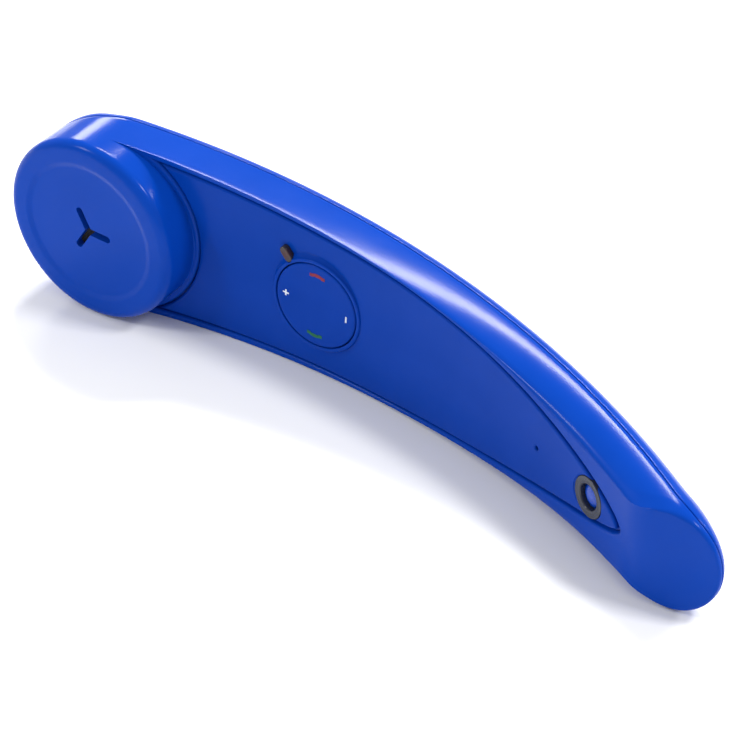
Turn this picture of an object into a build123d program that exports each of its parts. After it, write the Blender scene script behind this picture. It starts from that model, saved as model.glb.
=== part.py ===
from build123d import *
import os
from math import asin, cos, pi, radians, sin, sqrt, tan

os.makedirs("parts", exist_ok=True)

# Curved wireless telephone handset, lying on its side on a table. Millimetres.
#
# The pieces are drawn in the handset's own frame: X runs from the centre of the ear cup
# towards the mouth end, Y is sideways, and Z comes out of the listening face, which is z = 0.
# rest_place then turns the finished pieces on their side, as the handset rests: there X stays the
# length, Y points away from the user's side and Z is up, with the table at z = 0.

# ---- overall form ----
ear_radius = 26.0            # ear cup
mouth_radius = 15.2          # mouth end
mouth_x = 183.5              # ear centre to mouth centre
panel_arc_radius = mouth_x + 66.5    # concave side that faces the user
panel_low_x = 0.3 * mouth_x      # where that side is deepest
panel_low_z = -12.9
parting_arc_radius = mouth_x + 61.5  # line where the two shells meet
parting_low_z = -23.8
back_bulge = 9.0             # how far the back swells behind the parting line
back_crown_radius = 64.0     # sideways rounding of the back
back_edge_radius = 2.6
facet_setback = 5.0          # flat mouth facet, past the control panel's tip
facet_turn = 4.0             # degrees that the facet leans towards the mouth end
seam_level_x = mouth_x + 2.5     # past here the seam runs level round the mouth end

# ---- rounding of the limb's front edges ----
keel_margin = 0.4
keel_depth = 10.2
keel_rise = 52.0
keel_start = 57.0
keel_end = mouth_x + 6.5
keel_power = 2.5

# ---- shells ----
wall = 2.0
floor_wall = 1.6             # front shell under the control panel
ear_face_wall = 2.8
ear_edge_radius = 2.6
lip_height = 1.4
lip_thickness = 0.9
lip_gap = 0.12

# ---- listening face ----
dish_radius = 20.0
dish_bevel = 2.0
dish_depth = 0.7
slot_arm = 6.0
slot_width = 2.0
slot_count = 3

# ---- control panel ----
inlay_thickness = 1.6
groove = 0.35
rim_width = 1.9
panel_tip_x = mouth_x - 13.0
panel_curve_x = mouth_x / 2      # where the straight flanks start to turn towards the tip
panel_ear_gap = 1.6          # between the ear cup's wall and the panel's end
power_margin = 0.9           # panel left beside the power button's ring

# ---- key pad ----
pad_x = ear_radius + 38.5
pad_radius = 12.15
pad_gap = 0.30
pad_thickness = 1.5
pad_edge_radius = 0.35
pad_face_z = -11.2
boss_rim = 1.1
boss_slope = 1.6
plunger_ring = pad_radius - 3.35
plunger_radius = 1.1
plunger_gap = 0.65           # between a plunger and its switch at rest
pivot_depth = 4.0            # below the pad's face
pivot_ring_inner = 3.0
pivot_ring_outer = 4.4
pivot_ring_height = 1.8
pivot_post_radius = 1.3
pivot_foot = 0.8
pivot_pin_radius = 0.5
pivot_pin_gap = 0.08
pivot_lug_gap = 0.4          # between the ring and the pad's lugs
pivot_lug = 1.2
mark_depth = 0.15
mark_offset = pad_radius - 2.85
plus_span = 1.8
mark_stroke = 0.45
call_arch_outer = 3.6
call_arch_inner = 2.5
call_arch_drop = 3.0
call_span = 4.6
call_height = 1.6
call_end_width = 1.1
call_end_height = 0.9
call_end_drop = 0.25

# ---- indicator window ----
window_angle = 131.0
window_start = pad_radius + 0.75
window_end = pad_radius + 5.35
window_width = 2.5
window_fit = 0.05
led_length = 3.0
led_width = 1.6
led_height = 0.9
led_gap = 0.4

# ---- power button ----
power_x = mouth_x - 25.0
power_ring_outer = 5.5
power_ring_inner = 3.35
power_ring_proud = 0.12
power_ring_seat = 0.1        # above the curved floor
power_button_radius = 3.05
power_dome_radius = 5.0
power_travel = 0.8
power_recess = 0.9
power_flange_radius = 3.9
power_flange = 0.8
power_flange_gap = 0.3
power_foot_radius = 1.3
press_margin = 0.3           # left between a pressed button and its switch

# ---- microphone ----
microphone_x = mouth_x - 44.5
microphone_hole = 0.6
microphone_radius = 2.0
microphone_height = 1.5
microphone_port = 0.4
boot_radius = 2.9
boot_top = 0.65
boot_gap = 0.05
boot_floor = 0.5

# ---- boards ----
board_thickness = 1.0
board_depth = 7.4            # main board's top, below the pad's face
board_start = 38.5
board_end = 95.0
board_half_width = 15.0
board_post_radius = 1.4
board_post_places = ((42.0, 12.0), (89.5, 10.5))
switch_height = 1.5
switch_size = 4.5
switch_stem_radius = 1.0
switch_stem = 0.4
radio_start = 4.0            # from the main board's end
radio_length = 14.0
radio_half_width = 6.0
radio_base = 0.6
radio_can_start = 1.0
radio_can_end = 10.0
radio_can_half_width = 5.2
radio_can = 1.4
antenna_start = 1.2
antenna_length = 2.0
antenna_half_width = 3.5
antenna_height = 0.9
small_board_start = -22.0    # measured from the power button
small_board_end = 8.0
small_board_half_width = 6.0
small_board_depth = 8.2      # below the control panel's face
power_switch_height = 1.1
power_switch_half = 2.25

# ---- speaker ----
speaker_radius = 18.0
speaker_gasket = 1.0
speaker_rim = 2.6
speaker_frame_depth = 4.4
speaker_flange = 1.2
basket_inset = 1.0
basket_wall = 1.2
basket_floor = 1.0
magnet_radius = 8.5
magnet_height = 3.8
magnet_lap = 2.0             # how far the basket's floor reaches over the magnet
coil_inset = 2.6             # voice coil, inside the magnet's edge
cone_gap = 0.1
cone_skin = 0.25
cone_low = 3.2               # depths below the speaker's rim
cone_neck = 2.0
cone_edge = 0.9
surround_top = 0.2
surround_width = 3.0
mesh_radius = 9.0
mesh_thickness = 0.3

# ---- battery ----
battery_start = 104.5
battery_length = 30.0
battery_half_width = 9.5
battery_thickness = 5.0
battery_edge_radius = 1.2
foam_thickness = 1.0
foam_inset = 2.0
foam_depth = 3.3             # below the control panel's face

# ---- wires ----
wire_radius = 0.45
wire_bend = 4.0
wire_spread = 0.8            # half of the space between the wires of a pair
wire_gap = 0.1
wire_lap = 3.0               # how far a wire reaches over its board
speaker_wire_x = 13.0
speaker_wire_y = 9.5
speaker_wire_drop = 6.0
wire_turn_x = 25.0
battery_wire_y = 6.5
battery_wire_z = -15.0
battery_wire_low = -17.6
battery_wire_run = 6.5
charging_wire_x = -11.0
charging_wire_drop = 3.7     # below the socket's middle
charging_wire_low = 4.6
charging_wire_bend_x = 4.0
ribbon_half_width = 4.0
ribbon_thickness = 0.25
ribbon_depth = 10.1          # below the control panel's face
ribbon_fit = 0.05
connector_length = 2.6
connector_height = 1.3
connector_margin = 1.0
connector_inset = 2.4        # from the main board's end
small_connector_inset = 1.0
ribbon_lap = 1.1             # how far the ribbon reaches into a connector

# ---- screws ----
screw_places = ((34.0, 15.0), (99.5, 13.0))
screw_radius = 1.1
screw_head_radius = 2.1
screw_head = 1.0
screw_length = 9.0
screw_boss_radius = 3.0
screw_collar = 1.4
screw_gap = 0.2
screw_bite = 0.5             # pilot hole left under a screw's tip
thread_fit = 0.02
driver_slot = 1.2
driver_slot_width = 0.5

# ---- charging socket, in the back shell's end wall ----
socket_width = 7.7
socket_height = 3.9
socket_length = 9.0
socket_skin = 0.4
socket_back = 1.0
socket_inset = 0.5           # its mouth, inside the ear cup's outer face
socket_corner = 0.8
socket_drop = 3.6            # below the seam at the ear end
socket_gap = 0.3
tongue_start = 1.5
tongue_half = 0.45
tongue_inset = 1.4
socket_board_start = 3.6
socket_board_length = 11.0
socket_board_half_width = 6.5
socket_board_thickness = 0.8

# ---- worked out from the sizes above ----
side_angle = asin((ear_radius - mouth_radius) / mouth_x)
side_slope = tan(side_angle)
panel_centre_z = panel_low_z + panel_arc_radius
parting_centre_z = parting_low_z + parting_arc_radius
back_arc_radius = parting_arc_radius + back_bulge
end_x = mouth_x + mouth_radius
under_inlay = inlay_thickness + floor_wall
pad_hole = pad_radius + pad_gap
plunger_drop = board_depth - switch_height - pad_thickness - plunger_gap
board_top = pad_face_z - board_depth
board_bottom = board_top - board_thickness
far = 60.0                   # well clear of the handset on any side


# ---- geometry helpers ----
def half_width(x):
    """Half of the plan width on the straight flanks."""
    return ear_radius / cos(side_angle) - side_slope * x


def arc_z(x, radius, centre_z):
    return centre_z - sqrt(radius ** 2 - (x - panel_low_x) ** 2)


def panel_plane(x):
    """Plane on the control panel's arc at x, with its z out of the panel."""
    turn = asin((x - panel_low_x) / panel_arc_radius)
    point = (x, 0, panel_centre_z - panel_arc_radius * cos(turn))
    return Plane(origin=point, x_dir=(cos(turn), 0, sin(turn)), z_dir=(-sin(turn), 0, cos(turn)))


def flat_plane(x, z):
    return Plane(origin=(x, 0, z), x_dir=(1, 0, 0), z_dir=(0, 0, 1))


def disc(plane, radius, top, bottom):
    """Cylinder round a plane's axis, between two heights."""
    return extrude(plane.offset(bottom) * Circle(radius), amount=top - bottom)


def ring(plane, outer_radius, inner_radius, top, bottom):
    return disc(plane, outer_radius, top, bottom) - disc(plane, inner_radius, top + 1, bottom - 1)


def block(plane, start, end, half, top, bottom, middle_y=0.0):
    """Box on a plane, from start to end along its x and half to each side."""
    outline = Pos((start + end) / 2, middle_y) * Rectangle(end - start, 2 * half)
    return extrude(plane.offset(bottom) * outline, amount=top - bottom)


def side_slab(outline, half=far):
    """Extrudes a side-view outline, drawn as length and height, to both sides."""
    side_view = Plane(origin=(0, 0, 0), x_dir=(1, 0, 0), z_dir=(0, -1, 0))
    return extrude(side_view * outline, amount=half, both=True)


def wire(points):
    """Round wire along a path with rounded corners."""
    path = FilletPolyline(*points, radius=wire_bend)
    return sweep(Plane(origin=path @ 0, z_dir=path % 0) * Circle(wire_radius), path=path)


def above_arc(radius, centre_z, start, end, top):
    """Side-view outline of the space above an arc, as far up as top."""
    middle = (start + end) / 2
    first = (start, arc_z(start, radius, centre_z))
    last = (end, arc_z(end, radius, centre_z))
    with BuildLine() as outline:
        ThreePointArc(first, (middle, arc_z(middle, radius, centre_z)), last)
        Polyline(last, (end, top), (start, top), first)
    return make_face(outline.line)


socket_z = arc_z(-ear_radius, parting_arc_radius, parting_centre_z) - socket_drop


# ---- overall form ----
def plan_outline(inset):
    ends = [Edge.make_circle(ear_radius - inset),
            Edge.make_circle(mouth_radius - inset).moved(Location((mouth_x, 0, 0)))]
    return make_hull(ends)


def back_form(inset):
    """Crowned back: a sideways arc turned about the parting arc's centre line."""
    reach = ear_radius + 4
    drop = back_crown_radius - sqrt(back_crown_radius ** 2 - reach ** 2)
    low = parting_centre_z - back_arc_radius + inset
    with BuildLine() as outline:
        ThreePointArc((-reach, low + drop), (0, low), (reach, low + drop))
        Polyline((reach, low + drop), (reach, 3 * far), (-reach, 3 * far), (-reach, low + drop))
    cross = Plane(origin=(panel_low_x, 0, 0), x_dir=(0, 1, 0), z_dir=(1, 0, 0))
    axis = Axis((panel_low_x, 0, parting_centre_z), (0, 1, 0))
    return revolve(cross * make_face(outline.line), axis, 360)


def keel_form(inset):
    """Rounded front of the limb: deep and square near the ear, round near the mouth."""
    stations = 10
    first = keel_start - 4
    step = (end_x + 20 - first) / (stations - 1)
    sections = []
    for index in range(stations):
        x = first + index * step
        rise = max(0.0, (keel_end - x) / (keel_end - keel_start)) ** keel_power
        depth = keel_depth + keel_rise * rise - inset
        width = half_width(x) + keel_margin - inset
        centre = (x, 0, arc_z(x, parting_arc_radius, parting_centre_z))
        plane = Plane(origin=centre, x_dir=(0, 1, 0), z_dir=(1, 0, 0))
        sections.append(plane * Ellipse(width, depth))
    return loft(sections)


def front_air(inset, front_inset):
    """The space in front of the limb: above the panel's arc and the mouth facet."""
    radius = panel_arc_radius + front_inset
    start = ear_radius * sin(side_angle)
    crease_x = panel_tip_x + facet_setback
    middle = (start + crease_x) / 2
    stop = end_x + 20
    first = (start, arc_z(start, radius, panel_centre_z))
    crease = (crease_x, arc_z(crease_x, radius, panel_centre_z))
    facet_end = (stop, crease[1] - tan(radians(facet_turn)) * (stop - crease_x))
    with BuildLine() as outline:
        ThreePointArc(first, (middle, arc_z(middle, radius, panel_centre_z)), crease)
        Polyline(crease, facet_end, (stop, far), (start, far), first)
    return side_slab(make_face(outline.line)) - disc(Plane.XY, ear_radius - inset, far, -far)


def body_form(inset, front_inset, face_inset):
    """Solid outline of the handset, drawn in by inset all round."""
    whole = extrude(plan_outline(inset), amount=far, both=True) & back_form(inset)
    whole = whole - disc(Plane.XY, 2 * ear_radius, far, -face_inset)
    whole = whole - front_air(inset, front_inset)
    above = above_arc(parting_arc_radius, parting_centre_z, keel_start, end_x + 15, far)
    return whole - (side_slab(above) - keel_form(inset))


def front_side(lift=0.0):
    """Everything on the user's side of the seam, with the seam moved up by lift."""
    start = -ear_radius - 10
    middle = (start + seam_level_x) / 2
    first = (start, arc_z(start, parting_arc_radius, parting_centre_z))
    level = (seam_level_x, arc_z(seam_level_x, parting_arc_radius, parting_centre_z))
    stop = end_x + 20
    with BuildLine() as outline:
        ThreePointArc(first, (middle, arc_z(middle, parting_arc_radius, parting_centre_z)), level)
        Polyline(level, (stop, level[1]), (stop, far), (start, far), first)
    return side_slab(make_face(outline.line)).moved(Location((0, 0, lift)))


def panel_outline(grow=0.0):
    """Leaf shape: round the ear cup, straight flanks, then curves to a pointed tip."""
    flank = ear_radius / cos(side_angle) - rim_width + grow
    round_end = ear_radius + panel_ear_gap - grow
    square = 1 + side_slope ** 2
    root = sqrt((flank * side_slope) ** 2 - square * (flank ** 2 - round_end ** 2))
    start_x = (flank * side_slope + root) / square
    start_y = flank - side_slope * start_x
    curve_y = flank - side_slope * panel_curve_x
    power_y = power_ring_outer + power_margin + grow
    tip_x = panel_tip_x + 2 * grow
    with BuildLine() as outline:
        ThreePointArc((start_x, -start_y), (round_end, 0), (start_x, start_y))
        for side in (1, -1):
            Line((start_x, side * start_y), (panel_curve_x, side * curve_y))
            Spline((panel_curve_x, side * curve_y), (power_x, side * power_y), (tip_x, 0),
                   tangents=((1, -side * side_slope), (1, -side * 0.8)))
    return make_face(outline.line)


def arc_layer(top_depth, bottom_depth, start=-20.0, end=end_x + 15):
    """Curved layer of the handset between two depths below the control panel's face."""
    upper = above_arc(panel_arc_radius + bottom_depth, panel_centre_z, start, end, 2 * far)
    lower = above_arc(panel_arc_radius + top_depth, panel_centre_z, start - 1, end + 1, 3 * far)
    return side_slab(upper) - side_slab(lower)


pad_plane = flat_plane(pad_x, pad_face_z)
power_plane = panel_plane(power_x)
microphone_plane = panel_plane(microphone_x)
battery_plane = panel_plane(battery_start + battery_length / 2)


def mirrored(places):
    """Each place and its twin on the other side."""
    return [(x, side * y) for x, y in places for side in (1, -1)]


def window_column(shrink, top, bottom):
    """Radial capsule beside the key pad, between two heights."""
    middle = (window_start + window_end) / 2
    slot = SlotOverall(window_end - window_start - 2 * shrink, window_width - 2 * shrink)
    outline = Rot(0, 0, window_angle) * Pos(middle, 0) * slot
    return extrude(flat_plane(pad_x, bottom) * outline, amount=top - bottom)


# ---- shells ----
sharp = body_form(0, 0, 0)
inner = body_form(wall, under_inlay, ear_face_wall)
lip_outside = body_form(wall - lip_thickness, under_inlay, ear_face_wall)


def ear_edge_form():
    """What the rounding of the listening face's edge takes away."""
    start = (ear_radius - ear_edge_radius, 0)
    end = (ear_radius, -ear_edge_radius)
    middle = (start[0] + ear_edge_radius * sin(pi / 4), end[1] + ear_edge_radius * cos(pi / 4))
    with BuildLine() as outline:
        ThreePointArc(start, middle, end)
        Polyline(end, (ear_radius + 1, end[1]), (ear_radius + 1, 1), (start[0], 1), start)
    return revolve(Plane.XZ * make_face(outline.line), Axis.Z, 360)


def is_back_rim(edge):
    """The long edge where the side wall meets the crowned back; its fillet runs all round."""
    middle = edge @ 0.5
    return edge.length > mouth_x * 0.9 and middle.Z < parting_low_z and middle.Y > 0


outer = fillet(sharp.edges().filter_by(is_back_rim), back_edge_radius)
outer = outer - ear_edge_form()


def make_front_shell():
    shell = (outer - inner) & front_side()
    rebate = lip_outside - front_side(lip_height + lip_gap)
    shell = shell - rebate
    recess = extrude(panel_outline(groove), amount=far, both=True) & arc_layer(-far / 2, inlay_thickness)
    shell = shell - recess
    dish = Cone(dish_radius - dish_bevel, dish_radius, dish_depth)
    shell = shell - Pos(0, 0, -dish_depth / 2) * dish
    for index in range(slot_count):
        arm = Pos(slot_arm / 2, 0) * SlotOverall(slot_arm + slot_width, slot_width)
        cut = extrude(Rot(0, 0, index * 360 / slot_count) * arm, amount=far / 6, both=True)
        shell = shell - cut
    shell = shell - disc(pad_plane, pad_hole - boss_rim, 5, -far / 3)
    shell = shell - window_column(0, 0, board_top)
    shell = shell - disc(power_plane, power_ring_inner, 1, -under_inlay - 1)
    shell = shell - disc(microphone_plane, microphone_hole, 1, -under_inlay - 1)
    for x, y in mirrored(board_post_places):
        post = disc(flat_plane(x, 0), board_post_radius, floor_z(x) + floor_wall / 2, board_top)
        shell = shell + post.moved(Location((0, y, 0)))
    for x, y in mirrored(screw_places):
        collar = disc(flat_plane(x, 0), screw_boss_radius, floor_z(x) + floor_wall / 2, collar_z(x))
        hole = disc(flat_plane(x, 0), screw_radius + screw_gap, 0, -far)
        well = disc(flat_plane(x, 0), screw_head_radius + screw_gap, 0, screw_seat_z(x))
        shell = shell + collar.moved(Location((0, y, 0)))
        shell = shell - (hole + well).moved(Location((0, y, 0)))
    return shell


def floor_z(x):
    """Height of the underside of the floor that carries the control panel."""
    return arc_z(x, panel_arc_radius + under_inlay, panel_centre_z)


def collar_z(x):
    """Height where the front shell's screw collar stands on the back shell's boss."""
    return floor_z(x) - screw_collar


def screw_seat_z(x):
    """Height of the screw head's underside, sunk below the control panel's lowest point over it."""
    radius = panel_arc_radius + inlay_thickness
    sides = (x - screw_head_radius, x + screw_head_radius)
    return min(arc_z(side, radius, panel_centre_z) for side in sides) - screw_head - screw_gap


def make_back_shell():
    shell = (outer - inner) - front_side()
    lip = (lip_outside - inner) & front_side(-0.01)
    lip = lip - front_side(lip_height)
    shell = shell + lip
    for x, y in mirrored(screw_places):
        boss = disc(flat_plane(x, 0), screw_boss_radius, collar_z(x), -far).moved(Location((0, y, 0)))
        shell = shell + (boss & body_form(wall / 2, under_inlay, ear_face_wall))
    for x, y in mirrored(screw_places):
        tip = screw_seat_z(x) - screw_length
        pilot = disc(flat_plane(x, 0), screw_radius + thread_fit, 0, tip).moved(Location((0, y, 0)))
        shell = shell - pilot
    opening = RectangleRounded(socket_width + 2 * socket_gap, socket_height + 2 * socket_gap, socket_corner)
    end_view = Plane(origin=(-ear_radius - 1, 0, socket_z), x_dir=(0, 1, 0), z_dir=(1, 0, 0))
    return shell - extrude(end_view * opening, amount=wall + 3)


# ---- control panel and indicator ----
def boss_panel(thickness):
    """Control panel with its raised key pad boss, before its holes are cut."""
    panel = extrude(panel_outline(), amount=far, both=True) & arc_layer(0, thickness)
    top = pad_hole + boss_rim
    height = pad_face_z - panel_low_z + inlay_thickness / 2
    base = top + boss_slope * height / (pad_face_z - panel_low_z)
    boss = Cone(base, top, height, align=(Align.CENTER, Align.CENTER, Align.MAX))
    above_floor = side_slab(above_arc(panel_arc_radius + thickness, panel_centre_z, 0, end_x, far))
    return panel + (Pos(pad_x, 0, pad_face_z) * boss & above_floor)


def make_control_panel():
    panel = boss_panel(inlay_thickness) - disc(pad_plane, pad_hole, 1, -far / 3)
    panel = panel - window_column(0, 0, board_top)
    panel = panel - disc(power_plane, power_ring_outer + window_fit, 1, -under_inlay)
    return panel - disc(microphone_plane, microphone_hole, 1, -under_inlay)


def make_indicator_window():
    """Smoked light guide, flush with the boss and reaching down to the lamp."""
    column = window_column(window_fit, 0, board_top + led_height + led_gap)
    return column & boss_panel(far / 4)


def make_indicator_led():
    middle = (window_start + window_end) / 2
    outline = Rot(0, 0, window_angle) * Pos(middle, 0) * Rectangle(led_length, led_width)
    return extrude(flat_plane(pad_x, board_top) * outline, amount=led_height)


# ---- key pad ----
def mark_plane():
    return pad_plane.offset(-mark_depth)


def plus_mark():
    upright = Rectangle(mark_stroke, plus_span)
    across = Rectangle(plus_span, mark_stroke)
    return Pos(-mark_offset, 0) * (upright + across)


def minus_mark():
    return Pos(mark_offset, 0) * Rectangle(mark_stroke, plus_span)


def call_mark(side):
    """Small handset sign: an arched bar with a drooping end each way."""
    arch = Pos(0, -call_arch_drop) * (Circle(call_arch_outer) - Circle(call_arch_inner))
    lift = call_arch_outer - call_arch_drop - call_height / 8
    arch = arch & Pos(0, lift) * Rectangle(call_span, call_height)
    end_place = (call_span - call_end_width) / 2
    end = Rectangle(call_end_width, call_end_height)
    ends = Pos(-end_place, -call_end_drop) * end + Pos(end_place, -call_end_drop) * end
    turn = 0 if side > 0 else 180
    return Pos(0, side * mark_offset) * Rot(0, 0, turn) * (arch + ends)


def inlaid(outline):
    return extrude(mark_plane() * outline, amount=mark_depth)


def make_key_pad():
    cap = disc(pad_plane, pad_radius, 0, -pad_thickness)
    rims = cap.edges().filter_by(GeomType.CIRCLE).sort_by(Axis.Z)
    cap = fillet(rims[-1], pad_edge_radius)
    for place in PolarLocations(plunger_ring, 4):
        plane = Plane(place.position + (pad_x, 0, pad_face_z), x_dir=(1, 0, 0), z_dir=(0, 0, 1))
        cap = cap + disc(plane, plunger_radius, -pad_thickness, -pad_thickness - plunger_drop)
    near = pivot_ring_outer + pivot_lug_gap
    for side in (1, -1):
        low = -pivot_depth - pivot_lug
        lug = block(pad_plane, near, near + pivot_lug, pivot_lug, -pad_thickness / 2, low)
        pin = pivot_pin(pivot_ring_outer - pivot_lug, near + pivot_lug / 2)
        cap = cap + (lug + pin).rotate(Axis((pad_x, 0, 0), (0, 0, 1)), 90 - 90 * side)
    for outline in (plus_mark(), minus_mark(), call_mark(1), call_mark(-1)):
        cap = cap - inlaid(outline)
    return cap


def pivot_pin(start, end, grow=0.0):
    """Pin under the pad, along its x, at the height it rocks about."""
    plane = Plane(origin=(pad_x + start, 0, pad_face_z - pivot_depth), x_dir=(0, 1, 0), z_dir=(1, 0, 0))
    return extrude(plane * Circle(pivot_pin_radius + grow), amount=end - start)


def across_pad(shape):
    return shape.rotate(Axis((pad_x, 0, 0), (0, 0, 1)), 90)


def make_pad_pivot_ring():
    """Gimbal ring: it rocks on the post's pin, and the pad rocks on the ring the other way."""
    half = pivot_ring_height / 2
    top = half - pivot_depth
    gimbal = ring(pad_plane, pivot_ring_outer, pivot_ring_inner, top, top - pivot_ring_height)
    hole = pivot_pin(-pivot_ring_outer - 1, pivot_ring_outer + 1, pivot_pin_gap)
    return gimbal - hole - across_pad(hole)


def make_pad_pivot_post():
    top = pivot_ring_height / 2 - pivot_depth
    post = disc(pad_plane, pivot_post_radius, top, -board_depth)
    foot = disc(pad_plane, pivot_ring_outer, -board_depth + pivot_foot, -board_depth)
    reach = (pivot_ring_inner + pivot_ring_outer) / 2
    return post + foot + across_pad(pivot_pin(-reach, reach))


def make_tact_switches():
    switches = []
    for place in PolarLocations(plunger_ring, 4):
        x = pad_x + place.position.X
        y = place.position.Y
        half = switch_size / 2
        top = board_top + switch_height
        body = block(flat_plane(x, 0), -half, half, half, top - switch_stem, board_top, y)
        stem = disc(flat_plane(x, 0), switch_stem_radius, top, board_top + switch_stem)
        stem = stem.moved(Location((0, y, 0)))
        switches.append(body + stem)
    return Compound(children=[switch.solid() for switch in switches])


# ---- boards ----
def make_circuit_board():
    return block(flat_plane(0, 0), board_start, board_end, board_half_width, board_top, board_bottom)


def make_radio_module():
    plane = flat_plane(board_start + radio_start, board_bottom)
    base = block(plane, 0, radio_length, radio_half_width, 0, -radio_base)
    can = block(plane, radio_can_start, radio_can_end, radio_can_half_width,
                -radio_base, -radio_base - radio_can)
    return base + can


def make_antenna():
    plane = flat_plane(board_start + antenna_start, board_top)
    return block(plane, 0, antenna_length, antenna_half_width, antenna_height, 0)


def ribbon_form(start, end, half, fit=0.0):
    """Flat cable under the control panel, from start to end and half to each side."""
    strip = arc_layer(ribbon_depth - fit, ribbon_depth + ribbon_thickness + fit, start, end)
    keep = Box(end - start, 2 * half, 2 * far)
    return strip & Pos((start + end) / 2, 0) * keep


def make_ribbon_connectors():
    half = ribbon_half_width + connector_margin
    inner_end = -connector_inset - connector_length
    main = block(flat_plane(board_end, board_bottom), inner_end, -connector_inset, half,
                 0, -connector_height)
    depth = -small_board_depth - board_thickness
    start = small_board_start + small_connector_inset
    small = block(power_plane, start, start + connector_length, half, depth, depth - connector_height)
    slot = ribbon_form(*ribbon_ends(), ribbon_half_width + ribbon_fit, ribbon_fit)
    return Compound(children=[(main - slot).solid(), (small - slot).solid()])


def ribbon_ends():
    """Where the ribbon starts in the main board's connector and ends in the small board's."""
    start = board_end - connector_inset - ribbon_lap
    end = (power_plane * Pos(small_board_start + small_connector_inset + ribbon_lap, 0)).position.X
    return start, end


def make_ribbon_cable():
    return ribbon_form(*ribbon_ends(), ribbon_half_width)


def make_small_board():
    return block(power_plane, small_board_start, small_board_end, small_board_half_width,
                 -small_board_depth, -small_board_depth - board_thickness)


# ---- power button ----
def make_power_ring():
    bottom = power_ring_seat - inlay_thickness
    return ring(power_plane, power_ring_outer, power_ring_inner, power_ring_proud, bottom)


def make_power_button():
    """Domed button with a flange behind the floor and a foot over its switch."""
    flange_top = -under_inlay - power_flange_gap
    flange_bottom = flange_top - power_flange
    foot_end = power_switch_height + power_travel + press_margin - small_board_depth
    dome_low = sqrt(power_dome_radius ** 2 - power_button_radius ** 2) - power_dome_radius - power_recess
    half_low = sqrt(power_dome_radius ** 2 - (power_button_radius / 2) ** 2) - power_dome_radius
    with BuildLine() as outline:
        ThreePointArc((0, -power_recess), (power_button_radius / 2, half_low - power_recess),
                      (power_button_radius, dome_low))
        Polyline((power_button_radius, dome_low), (power_button_radius, flange_top),
                 (power_flange_radius, flange_top), (power_flange_radius, flange_bottom),
                 (power_foot_radius, flange_bottom), (power_foot_radius, foot_end), (0, foot_end),
                 (0, -power_recess))
    turned = revolve(Plane.XZ * make_face(outline.line), Axis.Z, 360)
    return power_plane * turned


def make_power_switch():
    top = power_switch_height - small_board_depth
    half = power_switch_half
    body = block(power_plane, -half, half, half, top - switch_stem, -small_board_depth)
    return body + disc(power_plane, switch_stem_radius, top, -small_board_depth + switch_stem)


# ---- microphone ----
def make_microphone():
    top = -under_inlay - boot_gap - boot_top
    can = disc(microphone_plane, microphone_radius, top, top - microphone_height)
    return can - disc(microphone_plane, microphone_port, top + 1, top - microphone_port)


def make_microphone_boot():
    top = -under_inlay - boot_gap
    inside = top - boot_top
    bottom = inside - microphone_height - boot_floor
    boot = disc(microphone_plane, boot_radius, top, bottom)
    hold = disc(microphone_plane, microphone_radius, inside, bottom - 1)
    return boot - hold - disc(microphone_plane, microphone_hole, 0, inside - boot_floor)


# ---- speaker ----
def make_dust_mesh():
    return disc(Plane.XY, mesh_radius, -ear_face_wall, -ear_face_wall - mesh_thickness)


def make_speaker_gasket():
    return ring(Plane.XY, speaker_radius, speaker_radius - speaker_rim, -ear_face_wall,
                -ear_face_wall - speaker_gasket)


def speaker_top():
    return -ear_face_wall - speaker_gasket


def make_speaker_frame():
    top = speaker_top()
    bottom = top - speaker_frame_depth
    rim = ring(Plane.XY, speaker_radius, speaker_radius - speaker_rim, top, top - speaker_flange)
    basket = disc(Plane.XY, speaker_radius - basket_inset, top - speaker_flange / 2, bottom)
    hollow = disc(Plane.XY, speaker_radius - basket_inset - basket_wall, top + 1, bottom + basket_floor)
    throat = disc(Plane.XY, magnet_radius - magnet_lap, 0, bottom - 1)
    return rim + (basket - hollow - throat)


def make_speaker_cone():
    """Thin diaphragm with a rolled surround and a domed middle."""
    top = speaker_top()
    rim = speaker_radius - speaker_rim - cone_gap
    coil = magnet_radius - coil_inset
    roll = rim - surround_width
    roll_middle = rim - surround_width / 2
    under = -cone_edge - cone_skin
    with BuildLine() as outline:
        Polyline((coil, -cone_low), (coil, -cone_neck), (roll, -cone_edge))
        ThreePointArc((roll, -cone_edge), (roll_middle, -surround_top), (rim, -cone_edge))
        Polyline((rim, -cone_edge), (rim, under))
        ThreePointArc((rim, under), (roll_middle, -surround_top - cone_skin), (roll, under))
        Polyline((roll, under), (coil + cone_skin, -cone_neck - cone_skin), (coil + cone_skin, -cone_low),
                 (coil, -cone_low))
    skirt = revolve(Plane.XZ * make_face(outline.line), Axis.Z, 360)
    dome = disc(Plane.XY, coil + cone_gap, -cone_neck, -cone_neck - cone_skin)
    return (skirt + dome).moved(Location((0, 0, top)))


def make_speaker_magnet():
    top = speaker_top() - speaker_frame_depth
    return disc(Plane.XY, magnet_radius, top, top - magnet_height)


# ---- battery ----
def make_battery_foam():
    half = battery_length / 2 - foam_inset
    return block(battery_plane, -half, half, battery_half_width - foam_inset,
                 -foam_depth, -foam_depth - foam_thickness)


def make_battery():
    top = -foam_depth - foam_thickness
    half = battery_length / 2
    cell = block(battery_plane, -half, half, battery_half_width, top, top - battery_thickness)
    long_edges = cell.edges().filter_by(lambda edge: abs(edge.length - battery_length) < 0.01)
    return fillet(long_edges, battery_edge_radius)


# ---- wires ----
def pair(points, middle_y):
    """Two wires side by side along the same side-view route."""
    wires = []
    for side in (1, -1):
        route = [(x, middle_y + side * wire_spread, z) for x, z in points]
        wires.append(wire(route).solid())
    return Compound(children=wires)


def under_board():
    """The last two points of a wire that ends under the main board."""
    low = board_bottom - wire_radius - wire_gap
    return [(wire_turn_x, low - wire_radius), (board_start + wire_lap, low)]


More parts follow.
